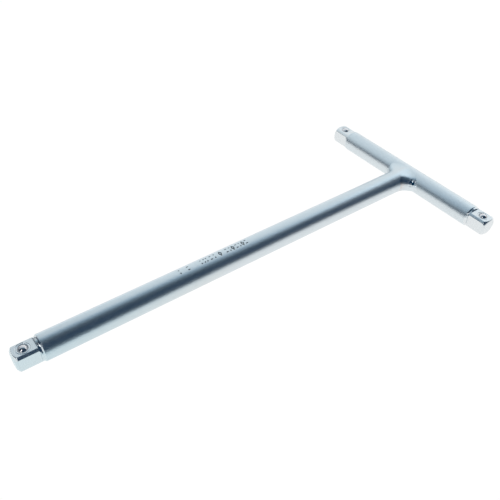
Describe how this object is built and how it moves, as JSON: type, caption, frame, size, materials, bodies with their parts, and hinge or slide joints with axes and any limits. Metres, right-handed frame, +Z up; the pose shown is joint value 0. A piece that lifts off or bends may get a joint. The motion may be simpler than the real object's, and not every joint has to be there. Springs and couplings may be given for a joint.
{
  "type": "three-way t-handle",
  "caption": "Long round shaft welded square-on to a short round crossbar, each free end a milled male square drive with a sprung detent ball.",
  "frame": {"origin": "bottom centre of the bounding box, with the handle lying on its bars and all detent balls up", "axes": "+X up the shaft towards the crossbar, +Y to the crossbar's left end, +Z up through the detent balls"},
  "size_m": [0.2588, 0.124, 0.0132],
  "materials": {
    "satin_chrome": "satin chrome plate over a fine blasted grain",
    "weld_chrome": "satin chrome plate over a ground and blasted weld",
    "polished_steel": "polished bearing steel",
    "spring_steel": "drawn spring wire"
  },
  "bodies": {
    "handle": {"shaft": "satin_chrome", "crossbar": "satin_chrome", "weld_bead": "weld_chrome", "shaft_detent_spring": "spring_steel", "left_detent_spring": "spring_steel", "right_detent_spring": "spring_steel"},
    "shaft_ball": {"shaft_detent_ball": "polished_steel"},
    "left_ball": {"left_detent_ball": "polished_steel"},
    "right_ball": {"right_detent_ball": "polished_steel"}
  },
  "joints": [
    {"name": "shaft_ball_press", "type": "slide", "parent": "handle", "child": "shaft_ball", "axis": [0, 0, -1], "range_m": [0, 0.001], "stiffness_N_per_m": 2500, "springref_m": -0.001, "deforming": ["shaft_detent_spring"]},
    {"name": "left_ball_press", "type": "slide", "parent": "handle", "child": "left_ball", "axis": [0, 0, -1], "range_m": [0, 0.001], "stiffness_N_per_m": 2500, "springref_m": -0.001, "deforming": ["left_detent_spring"]},
    {"name": "right_ball_press", "type": "slide", "parent": "handle", "child": "right_ball", "axis": [0, 0, -1], "range_m": [0, 0.001], "stiffness_N_per_m": 2500, "springref_m": -0.001, "deforming": ["right_detent_spring"]}
  ]
}
